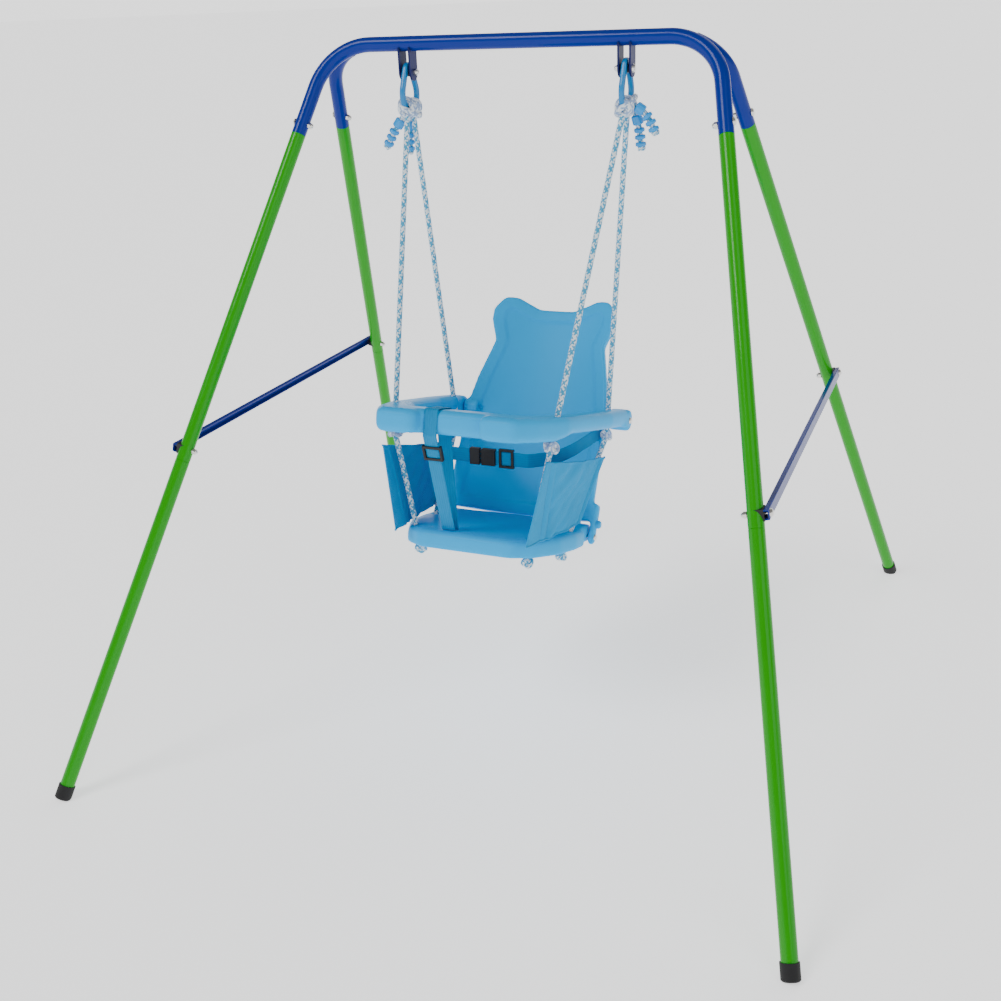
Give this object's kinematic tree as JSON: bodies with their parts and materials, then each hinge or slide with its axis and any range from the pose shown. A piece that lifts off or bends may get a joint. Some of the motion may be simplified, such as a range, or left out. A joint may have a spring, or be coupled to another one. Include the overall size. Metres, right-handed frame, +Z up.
{
  "type": "toddler swing set",
  "caption": "Free-standing A-frame of bent and bolted tubes with a bucket seat that swings on knotted ropes.",
  "frame": {"origin": "on the floor under the middle of the crossbar", "axes": "+X along the crossbar to the right seen from the front, +Y to the back of the set, +Z up"},
  "size_m": [1.3052, 1.3828, 1.2267],
  "materials": {
    "blue_tube": "glossy deep blue powder coat",
    "navy_bracket": "satin dark blue powder coat",
    "green_tube": "glossy green powder coat",
    "black_rubber": "matt black rubber",
    "black_plastic": "moulded black plastic with a fine grain",
    "bright_steel": "bright zinc-plated steel",
    "seat_plastic": "satin sky-blue moulded plastic",
    "ring_plastic": "ridged mid-blue plastic",
    "bead_plastic": "smooth bright blue plastic",
    "rope": "braided white rope with teal strands",
    "webbing": "ribbed blue webbing",
    "panel_fabric": "plain-woven sky-blue cloth"
  },
  "bodies": {
    "frame": {"top_tube": "blue_tube", "rear_stub_left": "blue_tube", "rear_stub_right": "blue_tube", "side_brace_left": "blue_tube", "side_brace_right": "blue_tube", "hanger_ears_left": "navy_bracket", "hanger_ears_right": "navy_bracket", "leg_upper_front_left": "green_tube", "leg_lower_front_left": "green_tube", "foot_cap_front_left": "black_rubber", "leg_upper_front_right": "green_tube", "leg_lower_front_right": "green_tube", "foot_cap_front_right": "black_rubber", "leg_upper_rear_left": "green_tube", "leg_lower_rear_left": "green_tube", "foot_cap_rear_left": "black_rubber", "leg_upper_rear_right": "green_tube", "leg_lower_rear_right": "green_tube", "foot_cap_rear_right": "black_rubber", "brace_saddles": "black_plastic", "pivot_bushes": "black_plastic", "leg_joint_bolts": "bright_steel", "leg_joint_nuts": "bright_steel", "brace_bolts": "bright_steel", "brace_nuts": "bright_steel", "pivot_bolts": "bright_steel", "pivot_nuts": "bright_steel"},
    "swing": {"rope_front_left": "rope", "rope_front_right": "rope", "rope_rear_left": "rope", "rope_rear_right": "rope", "buckle_socket": "black_plastic", "buckle_tongue": "black_plastic", "seat_bolts": "bright_steel", "guard_tray": "seat_plastic", "seat_pan": "seat_plastic", "backrest": "seat_plastic", "seat_knobs": "seat_plastic", "rope_ring_left": "ring_plastic", "top_knot_left": "rope", "rope_tail_left_outer": "rope", "tail_beads_left_outer": "bead_plastic", "rope_tail_left_inner": "rope", "tail_beads_left_inner": "bead_plastic", "side_panel_left": "panel_fabric", "lap_belt_left": "webbing", "rope_ring_right": "ring_plastic", "top_knot_right": "rope", "rope_tail_right_outer": "rope", "tail_beads_right_outer": "bead_plastic", "rope_tail_right_inner": "rope", "tail_beads_right_inner": "bead_plastic", "side_panel_right": "panel_fabric", "lap_belt_right": "webbing", "rope_knots": "rope", "crotch_strap": "webbing"},
    "crotch_slider": {"crotch_adjuster": "black_plastic"},
    "lap_slider": {"lap_adjuster": "black_plastic"}
  },
  "joints": [
    {"name": "swing_pivot", "type": "hinge", "parent": "frame", "child": "swing", "pos_m": [0, 0, 1.167], "axis": [1, 0, 0], "range_deg": [-45, 45]},
    {"name": "crotch_adjust", "type": "slide", "parent": "swing", "child": "crotch_slider", "axis": [0, 0.256, -0.9667], "range_m": [-0.016, 0.06]},
    {"name": "lap_adjust", "type": "slide", "parent": "swing", "child": "lap_slider", "axis": [1, 0, 0], "range_m": [-0.006, 0.028]}
  ]
}
